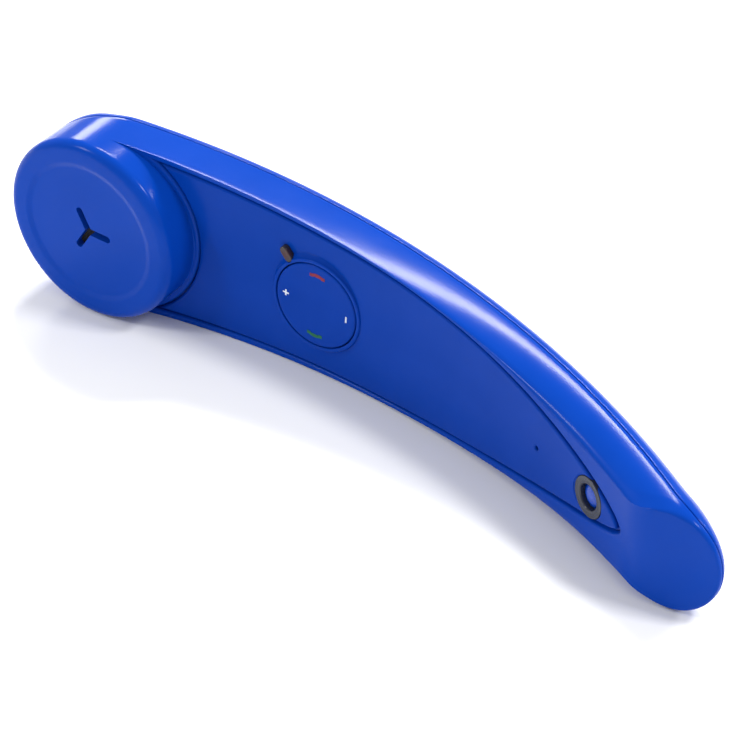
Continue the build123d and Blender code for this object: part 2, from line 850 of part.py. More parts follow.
def make_speaker_leads():
    start = speaker_top() - speaker_frame_depth - wire_gap / 2
    down = (speaker_wire_x + wire_spread, start - speaker_wire_drop)
    return pair([(speaker_wire_x, start), down] + under_board(), speaker_wire_y)


def make_battery_leads():
    bend = (battery_start - battery_wire_run, battery_wire_low)
    end = (board_end - wire_lap, board_top + wire_radius)
    return pair([(battery_start, battery_wire_z), bend, end], battery_wire_y)


def make_charging_leads():
    start = (charging_wire_x, socket_z - charging_wire_drop)
    bend = (charging_wire_bend_x, socket_z - charging_wire_low)
    return pair([start, bend] + under_board(), -speaker_wire_y)


# ---- screws ----
def make_case_screws():
    screws = []
    for x, y in mirrored(screw_places):
        seat = screw_seat_z(x)
        head = disc(flat_plane(x, 0), screw_head_radius, seat + screw_head, seat)
        shank = disc(flat_plane(x, 0), screw_radius, seat, seat - screw_length + screw_bite)
        cross = Rectangle(2 * driver_slot, driver_slot_width) + Rectangle(driver_slot_width, 2 * driver_slot)
        cut = extrude(flat_plane(x, seat + screw_head / 2) * cross, amount=1)
        screws.append(((head + shank) - cut).moved(Location((0, y, 0))).solid())
    return Compound(children=screws)


# ---- charging socket ----
socket_plane = flat_plane(-ear_radius, socket_z)


def make_charging_socket():
    half = socket_width / 2
    rise = socket_height / 2
    shell = block(socket_plane, socket_inset, socket_length, half, rise, -rise)
    hollow = block(socket_plane, 0, socket_length - socket_back, half - socket_skin,
                   rise - socket_skin, socket_skin - rise)
    tongue = block(socket_plane, tongue_start, socket_length - socket_back / 2, half - tongue_inset,
                   tongue_half, -tongue_half)
    return shell - hollow + tongue


def make_socket_board():
    top = -socket_height / 2
    return block(socket_plane, socket_board_start, socket_board_start + socket_board_length,
                 socket_board_half_width, top, top - socket_board_thickness)


# ---- laying the handset on its side ----
on_side = Rot(0, side_angle * 180 / pi, 0) * Rot(90, 0, 0)
resting = outer.moved(on_side).bounding_box()
rest_place = Location((-resting.center().X, -resting.center().Y, -resting.min.Z)) * on_side


pieces = {
    "front_shell": make_front_shell,
    "back_shell": make_back_shell,
    "control_panel": make_control_panel,
    "indicator_window": make_indicator_window,
    "indicator_led": make_indicator_led,
    "key_pad": make_key_pad,
    "pad_marks": lambda: Compound(children=[inlaid(plus_mark()).solid(), inlaid(minus_mark()).solid()]),
    "end_call_mark": lambda: inlaid(call_mark(1)),
    "answer_call_mark": lambda: inlaid(call_mark(-1)),
    "pad_pivot_ring": make_pad_pivot_ring,
    "pad_pivot_post": make_pad_pivot_post,
    "tact_switches": make_tact_switches,
    "circuit_board": make_circuit_board,
    "radio_module": make_radio_module,
    "antenna": make_antenna,
    "ribbon_connectors": make_ribbon_connectors,
    "ribbon_cable": make_ribbon_cable,
    "small_board": make_small_board,
    "power_ring": make_power_ring,
    "power_button": make_power_button,
    "power_switch": make_power_switch,
    "microphone": make_microphone,
    "microphone_boot": make_microphone_boot,
    "dust_mesh": make_dust_mesh,
    "speaker_gasket": make_speaker_gasket,
    "speaker_frame": make_speaker_frame,
    "speaker_cone": make_speaker_cone,
    "speaker_magnet": make_speaker_magnet,
    "battery_foam": make_battery_foam,
    "battery": make_battery,
    "speaker_leads": make_speaker_leads,
    "battery_leads": make_battery_leads,
    "charging_leads": make_charging_leads,
    "case_screws": make_case_screws,
    "charging_socket": make_charging_socket,
    "socket_board": make_socket_board,
}

for name, make in pieces.items():
    export_step(make().moved(rest_place), f"parts/{name}.step")
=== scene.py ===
import bpy
import math
import numpy as np
from mathutils import Matrix, Vector


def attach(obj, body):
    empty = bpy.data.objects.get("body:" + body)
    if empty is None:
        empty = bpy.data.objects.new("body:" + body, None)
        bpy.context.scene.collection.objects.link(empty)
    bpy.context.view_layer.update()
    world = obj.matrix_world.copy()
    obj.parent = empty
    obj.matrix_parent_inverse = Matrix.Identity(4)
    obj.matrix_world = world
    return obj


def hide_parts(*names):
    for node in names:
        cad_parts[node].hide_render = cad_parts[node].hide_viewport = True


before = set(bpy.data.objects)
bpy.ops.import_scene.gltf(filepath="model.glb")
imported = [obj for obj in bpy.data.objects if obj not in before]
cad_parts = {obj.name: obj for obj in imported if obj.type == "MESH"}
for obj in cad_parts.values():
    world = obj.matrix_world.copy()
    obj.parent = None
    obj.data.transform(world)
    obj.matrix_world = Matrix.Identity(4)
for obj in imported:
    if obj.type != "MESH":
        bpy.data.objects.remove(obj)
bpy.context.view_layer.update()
print("frame loaded:", len(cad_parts), "CAD nodes")

# The handset is shaped in its own frame, in millimetres: x from the ear cup to the mouth end, y sideways,
# z out of the listening face. layDown then turns a finished piece on its side, in metres.
resting = {
    "ear": (-0.0861910, -0.0073714, 0.0260000),   # centre of the listening face, as the handset lies
    "alongX": (0.998267, 0.0, -0.058856),
    "sideY": (0.058856, 0.0, 0.998267),
    "outZ": (0.0, -1.0, 0.0),
    "millimetre": 0.001,
}

form = {
    "earRadius": 26.0,
    "mouthRadius": 15.2,
    "length": 183.5,          # ear centre to mouth centre
    "panelArc": 250.0,
    "panelLowX": 55.05,
    "panelLowZ": -12.9,
    "seamArc": 245.0,
    "seamLowZ": -23.8,
    "seamLevelX": 187.6,      # past here the seam runs level round the mouth end
    "seamEase": 4.0,
    "arcsEndX": 200.0,        # the seam's arc is followed to here
    "panelArcEndX": 196.0,
    "facetX": 175.5,          # crease where the flat mouth facet starts
    "facetTurn": 4.0,
    "facetEase": 2.6,
    "ceilingDrop": 1.4,       # front shell's thickness over its inside
    "ceilingThinning": 0.6,   # less than that at the mouth end
    "thinningX": 186.0,
    "thinningLength": 10.0,
    "keelDepth": 14.5,        # roundness of the limb's shoulders
    "keelRise": 52.0,
    "keelEnd": 190.0,
    "keelLength": 133.0,
    "keelPower": 2.5,
    "wall": 2.0,
}
lean = math.asin((form["earRadius"] - form["mouthRadius"]) / form["length"])
tangentAngle = math.pi / 2 - lean
flankLength = form["length"] * math.cos(lean)
mouthArc = form["mouthRadius"] * tangentAngle
outlineLength = flankLength + mouthArc


# ---- surfaces the shells follow ----
def smoothMin(a, b, ease):
    mix = np.clip(0.5 + 0.5 * (b - a) / ease, 0, 1)
    return b * (1 - mix) + a * mix - ease * mix * (1 - mix)


def smoothStep(value):
    value = np.clip(value, 0, 1)
    return value * value * (3 - 2 * value)


def arcZ(x, radius, lowZ, deeper=0.0):
    return lowZ + radius - np.sqrt((radius + deeper) ** 2 - (x - form["panelLowX"]) ** 2)


def panelZ(x, deeper=0.0):
    return arcZ(x, form["panelArc"], form["panelLowZ"], deeper)


def frontZ(x):   # concave front, then the mouth facet
    crease = panelZ(form["facetX"])
    facet = crease - math.tan(math.radians(form["facetTurn"])) * (x - form["facetX"])
    return smoothMin(panelZ(np.minimum(x, form["panelArcEndX"])), facet, form["facetEase"])


def ceilingZ(x):  # inside of the front shell
    full = smoothStep((form["thinningX"] - x) / form["thinningLength"])
    drop = form["ceilingDrop"] - form["ceilingThinning"] * (1 - full)
    return np.minimum(panelZ(x, 2 * leaf["depth"]), frontZ(x) - drop)


def seamArcZ(x):
    return arcZ(np.minimum(x, form["arcsEndX"]), form["seamArc"], form["seamLowZ"])


def seamZ(x):    # line where the two shells meet
    level = float(seamArcZ(form["seamLevelX"]))
    return smoothMin(seamArcZ(x), level + 0 * x, form["seamEase"])


# ---- plan of the body ----
def limbOutline(q):
    # points, inward directions and spine points at these lengths past the cup's tangent point
    q = np.asarray(q, float)
    share = np.clip(q / flankLength, 0, 1)
    angle = np.where(q > flankLength, tangentAngle - (q - flankLength) / form["mouthRadius"], tangentAngle)
    radius = form["earRadius"] + (form["mouthRadius"] - form["earRadius"]) * share
    outward = np.stack([np.cos(angle), np.sin(angle)], 1)
    outward[q >= outlineLength - 1e-9] = (1, 0)
    spine = np.stack([form["length"] * share, 0 * share], 1)
    return spine + outward * radius[:, None], -outward, spine, radius


def cupOutline(angles):
    outward = np.stack([np.cos(angles), np.sin(angles)], 1)
    outward[np.abs(angles - math.pi) < 1e-9] = (-1, 0)
    outward[np.abs(angles) < 1e-9] = (1, 0)
    return outward


def keelInset(x, height, radius):
    # how far the side wall has leaned in at this height above the seam
    rise = np.clip((form["keelEnd"] - x) / form["keelLength"], 0, None) ** form["keelPower"]
    depth = form["keelDepth"] + form["keelRise"] * rise
    return radius * (1 - np.sqrt(1 - np.clip(height / depth, 0, 0.995) ** 2))


# ---- leaf that the control panel fills ----
leaf = {
    "rim": 1.9,               # shell left beside the panel
    "cupGap": 1.6,            # between the ear cup's wall and the panel
    "groove": 0.36,
    "grooveAtTip": 1.0,
    "grooveEdge": 0.75,       # rounding of the shell's edge of the groove
    "depth": 1.6,
    "widenX": 110.0,          # the groove widens from here
    "widenLength": 55.0,
    "tipX": 150.0,            # the tip's finer stations start here
    "edgeSteps": 60,          # points of the edge's line from each of its places to the next
    "cornerFade": 40.0,       # length over which a corner's shift dies away along the edge
    # places on the leaf's edge: without a y they lie on the straight flank, the last only steers the curve
    "edge": ((0.0, None), (30.0, None), (60.0, None), (88.0, None), (104.0, 17.35), (118.0, 15.5),
             (132.0, 13.0), (143.0, 10.55), (151.0, 8.5), (158.5, 6.3), (165.0, 3.9), (169.0, 1.75),
             (170.5, 0.0), (169.0, -1.75)),
}


def flankY(x, grow=0.0):
    return form["earRadius"] / math.cos(lean) - leaf["rim"] + grow - math.tan(lean) * x


def leafCorner(grow):
    slope = math.tan(lean)
    flank = flankY(0, grow)
    end = form["earRadius"] + leaf["cupGap"] - grow
    square = 1 + slope ** 2
    x = (flank * slope + math.sqrt((flank * slope) ** 2 - square * (flank ** 2 - end ** 2))) / square
    return x, flank - slope * x


def smoothLine(points, steps):
    # a smooth line through the points, with its outward directions and lengths
    points = np.array(points, float)
    t = np.concatenate([[0], np.cumsum(np.sqrt(np.linalg.norm(np.diff(points, axis=0), axis=1)))])
    pace = np.diff(points, axis=0) / np.diff(t)[:, None]
    slope = np.zeros_like(points)
    span = np.diff(t)[:, None]
    slope[1:-1] = (pace[:-1] * span[1:] + pace[1:] * span[:-1]) / (span[1:] + span[:-1])
    slope[0] = pace[0]
    slope[-1] = pace[-1]
    line = []
    for k in range(len(points) - 2):   # the last point only steers the tip
        s = np.linspace(0, 1, steps, endpoint=False)[:, None]
        h = span[k]
        line.append((2 * s ** 3 - 3 * s ** 2 + 1) * points[k] + (s ** 3 - 2 * s ** 2 + s) * h * slope[k]
                    + (3 * s ** 2 - 2 * s ** 3) * points[k + 1] + (s ** 3 - s ** 2) * h * slope[k + 1])
    line = np.concatenate(line + [points[-2:-1]])
    way = np.gradient(line, axis=0)
    way /= np.linalg.norm(way, axis=1)[:, None]
    outward = np.stack([-way[:, 1], way[:, 0]], 1)
    outward[-1] = (1, 0)
    lengths = np.concatenate([[0], np.cumsum(np.linalg.norm(np.diff(line, axis=0), axis=1))])
    return line, outward, lengths


edgePlaces = [(x, flankY(x) if y is None else y) for x, y in leaf["edge"]]
leafLine, leafOut, leafLengths = smoothLine(edgePlaces, leaf["edgeSteps"])
leafEnd = leafLengths[-1]


def cornerLength(grow):
    return (leafCorner(grow)[0] - grow * math.sin(lean)) / math.cos(lean)


count = {"flank": 150, "tip": 76, "cupInner": 40, "cupOuter": 80, "band": 18}
tipStart = float(np.interp(leaf["tipX"], leafLine[:, 0], leafLengths))
stations = np.concatenate([np.linspace(cornerLength(0), tipStart, count["flank"], endpoint=False),
                           np.linspace(tipStart, leafEnd, count["tip"] + 1)])
quarter = math.pi / 2 * 0.93   # spaces the shares closer towards the corner
innerShare = np.sin(np.linspace(0, quarter, count["cupInner"] + 1)) / math.sin(quarter)
cupAngles = np.linspace(tangentAngle, math.pi, count["cupOuter"] + 1)


def leafRail(grow):
    # the leaf's flank from its corner to the tip, moved out by grow
    near = float(np.atleast_1d(grow)[0])
    fade = np.clip(1 - (stations - stations[0]) / leaf["cornerFade"], 0, 1)
    s = stations + (cornerLength(near) - cornerLength(0)) * fade
    base = np.stack([np.interp(s, leafLengths, leafLine[:, k]) for k in (0, 1)], 1)
    out = np.stack([np.interp(s, leafLengths, leafOut[:, k]) for k in (0, 1)], 1)
    rail = base + out * np.broadcast_to(grow, s.shape)[:, None]
    rail[0] = leafCorner(near)
    rail[-1, 1] = 0
    return rail


def cupRail(grow):
    # the leaf's end round the ear cup, from its middle to the corner
    grow = float(np.atleast_1d(grow)[0])
    y = innerShare * leafCorner(grow)[1]
    rail = np.stack([np.sqrt((form["earRadius"] + leaf["cupGap"] - grow) ** 2 - y ** 2), y], 1)
    rail[-1] = leafCorner(grow)
    return rail


def grooveHalf():
    x = np.interp(stations, leafLengths, leafLine[:, 0])
    wide = smoothStep((x - leaf["widenX"]) / leaf["widenLength"])
    return (leaf["groove"] + (leaf["grooveAtTip"] - leaf["groove"]) * wide) / 2


def fillLeaf(rail, ends, shares):
    # points between a rail and the middle line: ends are the x of each share's first point
    corner = rail[0, 0]
    tip = rail[-1, 0]
    start = np.asarray(ends)[:, None]
    x = start + (rail[None, :, 0] - corner) * (tip - start) / (tip - corner)
    return np.stack([x, np.asarray(shares)[:, None] * rail[None, :, 1]], 2)


# ---- modelling helpers ----
def deselectAll():
    if bpy.context.object and bpy.context.object.mode != "OBJECT":
        bpy.ops.object.mode_set(mode="OBJECT")
    bpy.ops.object.select_all(action="DESELECT")


def useOnly(*objects):
    deselectAll()
    for obj in objects:
        obj.select_set(True)
    bpy.context.view_layer.objects.active = objects[0]


def layGrid(points):
    # a grid laid over rows of points, each row as long as the others
    points = np.asarray(points, float)
    rows, across = points.shape[0] - 1, points.shape[1] - 1
    deselectAll()
    bpy.ops.mesh.primitive_grid_add(x_subdivisions=across, y_subdivisions=rows, size=1)
    obj = bpy.context.object
    flat = np.empty(len(obj.data.vertices) * 3)
    obj.data.vertices.foreach_get("co", flat)
    flat = flat.reshape(-1, 3)
    column = np.rint((flat[:, 0] + 0.5) * across).astype(int)
    row = np.rint((flat[:, 1] + 0.5) * rows).astype(int)
    obj.data.vertices.foreach_set("co", points[row, column].ravel())
    return obj


def applyModifiers(obj):
    useOnly(obj)
    for modifier in list(obj.modifiers):
        bpy.ops.object.modifier_apply(modifier=modifier.name)


weld = {"half": 0.004, "lathe": 0.002, "speck": 0.0005}   # points closer than this become one


def weldAll(distance):
    # welds the piece that is being edited, drops its specks and turns its faces outwards
    bpy.ops.mesh.select_all(action="SELECT")
    bpy.ops.mesh.remove_doubles(threshold=distance)
    bpy.ops.mesh.dissolve_degenerate(threshold=weld["speck"])
    bpy.ops.mesh.normals_make_consistent(inside=False)
    bpy.ops.object.mode_set(mode="OBJECT")


def joinHalf(name, grids):
    # joins the grids of one half, mirrors it and welds the seams
    useOnly(*grids)
    bpy.ops.object.join()
    obj = bpy.context.object
    obj.name = obj.data.name = name
    mirror = obj.modifiers.new("mirror", "MIRROR")
    mirror.use_axis = (False, True, False)
    mirror.use_mirror_merge = False
    applyModifiers(obj)
    bpy.ops.object.mode_set(mode="EDIT")
    weldAll(weld["half"])
    return obj


def combine(obj, other, operation):
    # adds another shape to a piece or takes it out, and uses that shape up
    change = obj.modifiers.new("combine", "BOOLEAN")
    change.operation = operation
    change.solver = "EXACT"
    change.object = other
    applyModifiers(obj)
    bpy.data.objects.remove(other, do_unlink=True)


def cutAway(obj, cutters):
    # takes the cutters' shapes out of a piece
    useOnly(*cutters)
    if len(cutters) > 1:
        bpy.ops.object.join()
    combine(obj, bpy.context.object, "DIFFERENCE")


def smooth(obj, degrees=32):
    useOnly(obj)
    bpy.ops.object.shade_smooth_by_angle(angle=math.radians(degrees))


def smoothAs(obj, name, degrees):
    # names a finished piece and smooths it
    obj.name = obj.data.name = name
    smooth(obj, degrees)
    return obj


columns = [Vector(resting[key]) * resting["millimetre"] for key in ("alongX", "sideY", "outZ")]
laidDown = Matrix([[*(c[row] for c in columns), resting["ear"][row]] for row in range(3)] + [[0, 0, 0, 1]])
pieceSlots = []   # each finished piece with its material slot


def layDown(obj, body, slot, *nodes):
    # turns a finished piece on its side, in metres, and hands it to its body
    useOnly(obj)
    obj.matrix_world = laidDown
    bpy.ops.object.transform_apply(location=True, rotation=True, scale=True)
    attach(obj, body)
    if nodes:
        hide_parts(*nodes)
    pieceSlots.append((obj, slot))
    print("made", obj.name, len(obj.data.polygons), "faces")
    return obj


def lathe(profile, steps=96):
    # a round piece: its profile of (radius, height) starts as a line of points and is spun about z
    deselectAll()
    bpy.ops.mesh.primitive_circle_add(vertices=len(profile), radius=1, fill_type="NOTHING")
    obj = bpy.context.object
    for vertex, (radius, height) in zip(obj.data.vertices, profile):
        vertex.co = (radius, 0, height)
    bpy.ops.object.mode_set(mode="EDIT")
    bpy.ops.mesh.select_all(action="SELECT")
    bpy.ops.mesh.spin(steps=steps, angle=math.tau, center=(0, 0, 0), axis=(0, 0, 1))
    weldAll(weld["lathe"])
    return obj


def stand(obj, middle, tilt=0.0, turn=0.0):
    # moves a shape made round the origin to its place: tilt leans its z back along x
    useOnly(obj)
    spun = Matrix.Rotation(-tilt, 4, "Y") @ Matrix.Rotation(turn, 4, "Z")
    obj.matrix_world = Matrix.Translation(middle) @ spun
    bpy.ops.object.transform_apply(location=True, rotation=True, scale=True)
    return obj


def roundedEdge(radius, height, edge, inward=True, steps=5):
    # points of a rounded top edge, from the side up to the top
    points = []
    side = -1 if inward else 1
    for k in range(steps + 1):
        turn = math.pi / 2 * k / steps
        points.append((radius + side * edge * (1 - math.cos(turn)), height - edge * (1 - math.sin(turn))))
    return points


def pill(length, width, height):
    # a flat shape with round ends along x, round the origin: a cylinder with its halves moved apart
    deselectAll()
    bpy.ops.mesh.primitive_cylinder_add(vertices=48, radius=width / 2, depth=height)
    obj = bpy.context.object
    reach = (length - width) / 2
    for vertex in obj.data.vertices:
        vertex.co.x += reach if vertex.co.x > 0 else -reach
    return obj


# ---- places of the controls ----
controls = {
    "padX": 64.5,
    "padZ": -11.2,
    "padHole": 12.45,
    "floorHole": 11.35,
    "powerX": 158.5,
    "powerHole": 3.35,
    "powerSeat": 5.5,
    "microphoneX": 139.0,
    "microphoneHole": 0.6,
    "windowAngle": 131.0,
    "windowMiddle": 15.2,
    "windowLength": 4.6,
    "windowWidth": 2.5,
}


def onPanel(x):
    # place and lean of something set square on the panel's curve
    return Vector((x, 0, float(panelZ(x)))), math.asin((x - form["panelLowX"]) / form["panelArc"])


def windowPlace():
    turn = math.radians(controls["windowAngle"])
    away = Vector((math.cos(turn), math.sin(turn), 0)) * controls["windowMiddle"]
    return Vector((controls["padX"], 0, controls["padZ"])) + away, turn


def windowCutter(height):
    place, turn = windowPlace()
    return stand(pill(controls["windowLength"], controls["windowWidth"], height), place, 0, turn)


# ---- front shell ----
shellShape = {
    "seamGap": 0.05,          # half of the line between the shells
    "seamRound": 0.3,
    "lip": 1.1,               # shell beside the back shell's lip
    "lipHeight": 1.5,
    "lipRoom": 0.8,           # most of the room inside that the lip takes
    "lipGap": 0.1,
    "shoulder": 1.5,          # rounding where the side meets the front
    "shoulderMouth": 3.4,
    "shoulderX": 168.0,       # the rounding grows from here
    "shoulderLength": 14.0,
    "shoulderStart": 18.0,    # length over which it begins beside the ear cup
    "shoulderWide": 0.7,      # limits, as shares of the way to the groove and of the side's height
    "shoulderDeep": 0.6,
    "leanStart": 30.0,        # length over which the side starts to lean in
    "cupEdge": 2.6,
    "faceWall": 2.8,
    "cupFoot": 0.5,           # fillet where the ear cup stands on the limb
    "dishStart": 20.6,
    "dishEnd": 18.4,
    "dishDepth": 0.55,
    "rimRings": (22.6, 21.8),                                # rings of the listening face
    "faceRings": (15.0, 11.0, 8.0, 5.5, 3.0, 1.5, 0.0),
    "insideRings": (16.0, 9.0, 4.0, 0.0),
    "slotLength": 6.0,
    "slotWidth": 2.0,
    "slotCut": 12.0,
}


def seamEdge(side):
    # rounded edge of the seam: insets and lifts, side is 1 for the front shell and -1 for the back
    gap, edge = shellShape["seamGap"], shellShape["seamRound"]
    return [(edge * inset, side * (gap + edge * drop))
            for inset, drop in ((1.2, 0.0), (0.55, 0.12), (0.2, 0.4), (0.0, 1.0))]


def lipHeights(start):
    room = ceilingZ(start[:, 0]) - seamZ(start[:, 0])
    return np.minimum(shellShape["lipHeight"], shellShape["lipRoom"] * room)


def seamRows(outline, inward, steps):
    # rows that follow the seam at these insets and lifts
    rows = []
    for inset, lift in steps:
        point = outline + inward * inset
        rows.append(np.column_stack([point, seamZ(point[:, 0]) + lift]))
    return rows


def frontRim(outline, inward, topZ):
    # the front shell's rows from its ceiling down the inner wall and round the seam's edge
    start = outline + inward * form["wall"]
    lift = lipHeights(start)
    low = seamZ(start[:, 0]) + lift
    rows = [np.column_stack([start, topZ + (low - topZ) * k / 4]) for k in range(4)]
    lip = shellShape["lip"]
    steps = [(form["wall"], lift), (lip, lift), (lip, shellShape["seamGap"])]
    return rows + seamRows(outline, inward, steps + seamEdge(1))


def backRim(outline, inward):
    # the back shell's rows up its lip, which stands inside the front shell's, and round the seam's edge
    lift = lipHeights(outline + inward * form["wall"]) - shellShape["lipGap"] * 2
    lip = shellShape["lip"] + shellShape["lipGap"]
    steps = [(form["wall"], lift), (lip, lift), (lip, -shellShape["seamGap"])]
    return seamRows(outline, inward, steps + seamEdge(-1))


def limbProfile():
    # the limb's side, shoulder and front rim, as rows from the inner wall to the groove's floor
    shape = shellShape
    rail = leafRail(grooveHalf() + leaf["grooveEdge"])
    leafX = np.interp(stations, leafLengths, leafLine[:, 0])
    cornerX = form["earRadius"] * math.sin(lean)
    tipX = leaf["tipX"]
    q = (leafX - leafX[0]) * (tipX - cornerX) / (tipX - leafX[0]) / math.cos(lean)
    qTip = (tipX - cornerX) / math.cos(lean)
    late = stations > tipStart
    q[late] = qTip + (stations[late] - tipStart) / (leafEnd - tipStart) * (outlineLength - qTip)
    outline, inward, _, radius = limbOutline(q)
    ease = smoothStep(q / shape["leanStart"])
    base = seamZ(outline[:, 0])
    topZ = frontZ(outline[:, 0])
    for _ in range(4):
        inset = keelInset(outline[:, 0], topZ - base, radius) * ease
        top = outline + inward * inset[:, None]
        topZ = frontZ(top[:, 0])
    reach = np.linalg.norm(rail - top, axis=1)
    grown = smoothStep((outline[:, 0] - shape["shoulderX"]) / shape["shoulderLength"])
    rounding = shape["shoulder"] + (shape["shoulderMouth"] - shape["shoulder"]) * grown
    limit = np.minimum(shape["shoulderWide"] * reach, shape["shoulderDeep"] * (topZ - base))
    rounding = np.minimum(rounding * smoothStep(q / shape["shoulderStart"]), limit)
    innerTop = ceilingZ((outline + inward * form["wall"])[:, 0])
    rows = frontRim(outline, inward, innerTop)
    startZ = base + shape["seamGap"] + shape["seamRound"]

    def wallPoint(z):
        inset = keelInset(outline[:, 0], z - base, radius) * ease
        return np.column_stack([outline + inward * inset[:, None], z])

    for k in range(1, 12):
        rows.append(wallPoint(startZ + (topZ - rounding - startZ) * k / 11))
    below = rows[-1]
    corner = np.column_stack([top, topZ])
    step = (rail - top) / np.maximum(reach, 1e-6)[:, None]
    after = top + step * rounding[:, None]
    after = np.column_stack([after, frontZ(after[:, 0])])
    for k in range(1, 9):
        t = k / 8
        rows.append((1 - t) ** 2 * below + 2 * t * (1 - t) * corner + t * t * after)
    for k in range(1, count["band"] + 1):
        point = after[:, :2] + (rail - after[:, :2]) * k / count["band"]
        rows.append(np.column_stack([point, frontZ(point[:, 0])]))
    rows += grooveRows(leafRail, grooveHalf())
    return rows, outline, inward, innerTop


def grooveRows(railOf, half):
    # rounded edge of the groove, then its wall down to the floor
    rows = []
    edge = leaf["grooveEdge"]
    for k in range(1, 6):
        turn = math.pi / 2 * k / 5
        rail = railOf(half + edge * (1 - math.sin(turn)))
        rows.append(np.column_stack([rail, frontZ(rail[:, 0]) - edge * (1 - math.cos(turn))]))
    rail = railOf(half)
    for k in range(1, 3):
        top = frontZ(rail[:, 0]) - edge
        floor = panelZ(rail[:, 0], leaf["depth"])
        rows.append(np.column_stack([rail, top + (floor - top) * k / 2]))
    return rows


def cupFootRows():
    # strip of the front between the ear cup's wall and the groove
    rail = cupRail(grooveHalf()[0] + leaf["grooveEdge"])
    angles = innerShare * tangentAngle
    foot = cupOutline(angles) * form["earRadius"]
    foot[-1] = (form["earRadius"] * math.sin(lean), form["earRadius"] * math.cos(lean))
    reach = np.linalg.norm(rail - foot, axis=1)
    fillet = shellShape["cupFoot"] * smoothStep((1 - innerShare) * 6)
    rows = []
    for k in range(count["band"] + 1):
        point = foot + (rail - foot) * k / count["band"]
        away = reach * k / count["band"]
        near = np.clip(1 - away / np.maximum(fillet, 1e-6), 0, 1)
        lift = fillet * (1 - np.sqrt(1 - near ** 2))
        rows.append(np.column_stack([point, frontZ(point[:, 0]) + lift]))
    return rows + grooveRows(cupRail, grooveHalf())


def heightGrid(plan, heights):
    # a grid over these places at these heights
    return layGrid(np.concatenate([plan, heights], 2))


def cupSideRows(innerTopZ):
    # the ear cup's outer side up to the height of the limb's front, with the inside's rows
    shape = shellShape
    side = cupOutline(cupAngles) * form["earRadius"]
    inward = -cupOutline(cupAngles)
    base = seamZ(side[:, 0])
    edgeZ = -shape["cupEdge"]
    cornerZ = float(frontZ(side[:1, 0])[0])
    topZ = base + (cornerZ - base[0]) / (edgeZ - base[0]) * (edgeZ - base)
    lipTop = seamZ((side + inward * form["wall"])[:, 0]) + shape["lipHeight"]
    share = (innerTopZ - lipTop[0]) / (-shape["faceWall"] - lipTop[0])
    innerTop = lipTop + share * (-shape["faceWall"] - lipTop)
    rows = frontRim(side, inward, innerTop)
    startZ = base + shape["seamGap"] + shape["seamRound"]
    for k in range(1, 12):
        rows.append(np.column_stack([side, startZ + (topZ - startZ) * k / 11]))
    return rows, cornerZ, topZ, innerTop


def cupFaceRows(ring, low):
    # the cup's upper wall, rounded edge and dished listening face
    shape = shellShape
    radius, edge = form["earRadius"], shape["cupEdge"]
    rows = [np.column_stack([ring * radius, low - (edge + low) * k / 10]) for k in range(11)]
    for k in range(1, 13):
        turn = math.pi / 2 * k / 12
        around = ring * (radius - edge * (1 - math.cos(turn)))
        rows.append(np.column_stack([around, 0 * low + edge * (math.sin(turn) - 1)]))
    slope = np.linspace(shape["dishStart"], shape["dishEnd"], 9)
    for r in (*shape["rimRings"], *slope, *shape["faceRings"]):
        share = (shape["dishStart"] - r) / (shape["dishStart"] - shape["dishEnd"])
        rows.append(np.column_stack([ring * r, 0 * low - shape["dishDepth"] * float(smoothStep(share))]))
    return rows


def makeFrontShell():
    shape = shellShape
    rows, outline, inward, innerTop = limbProfile()
    foot = cupFootRows()
    half = grooveHalf()
    plan = fillLeaf(leafRail(half), cupRail(half)[:, 0], innerShare)
    grids = [layGrid(rows), layGrid(foot), heightGrid(plan, panelZ(plan[..., :1], leaf["depth"]))]
    rows, cornerZ, sideTop, cupInnerTop = cupSideRows(float(innerTop[0]))
    grids.append(layGrid(rows))
    # the ear cup all the way round, from the limb's front and the side's top to the listening face
    corner = len(innerShare) - 1
    ring = cupOutline(np.concatenate([innerShare * tangentAngle, cupAngles[1:]]))
    ring[corner] = (math.sin(lean), math.cos(lean))
    low = np.concatenate([foot[0][:, 2], sideTop[1:]])
    low[corner] = cornerZ
    grids.append(layGrid(cupFaceRows(ring, low)))
    # inside: the limb's ceiling, the cup's wall and the back of the listening face
    inside = form["earRadius"] - form["wall"]
    innerRail = outline + inward * form["wall"]
    innerRail[0] = (inside * math.sin(lean), inside * math.cos(lean))
    shares = np.sin(innerShare * tangentAngle) / math.sin(tangentAngle)
    ends = np.cos(innerShare * tangentAngle) * inside
    plan = fillLeaf(innerRail, ends, shares)
    grids.append(heightGrid(plan, ceilingZ(plan[..., :1])))
    low = np.concatenate([ceilingZ(ends), cupInnerTop[1:]])
    top = -shape["faceWall"]
    rows = [np.column_stack([ring * inside, low + (top - low) * k / 3]) for k in range(4)]
    rows += [np.column_stack([ring * r, 0 * low + top]) for r in shape["insideRings"]]
    grids.append(layGrid(rows))
    return joinHalf("frontShell", grids)


def throughHole(radius, x, square=True, length=14.0, vertices=96):
    # a cutter through the panel's floor, square to its curve or along z
    deselectAll()
    bpy.ops.mesh.primitive_cylinder_add(vertices=vertices, radius=radius, depth=length)
    middle, tilt = onPanel(x)
    return stand(bpy.context.object, middle, tilt if square else 0.0)


def earSlots():
    # cutter for the three-armed slot of the listening face
    shape = shellShape
    arms = []
    for k in range(3):
        arm = pill(shape["slotLength"] + shape["slotWidth"], shape["slotWidth"], shape["slotCut"])
        turn = math.tau * k / 3
        middle = Vector((math.cos(turn), math.sin(turn), 0)) * shape["slotLength"] / 2
        arms.append(stand(arm, middle, 0, turn))
    slots = arms[0]
    for arm in arms[1:]:
        combine(slots, arm, "UNION")
    return slots


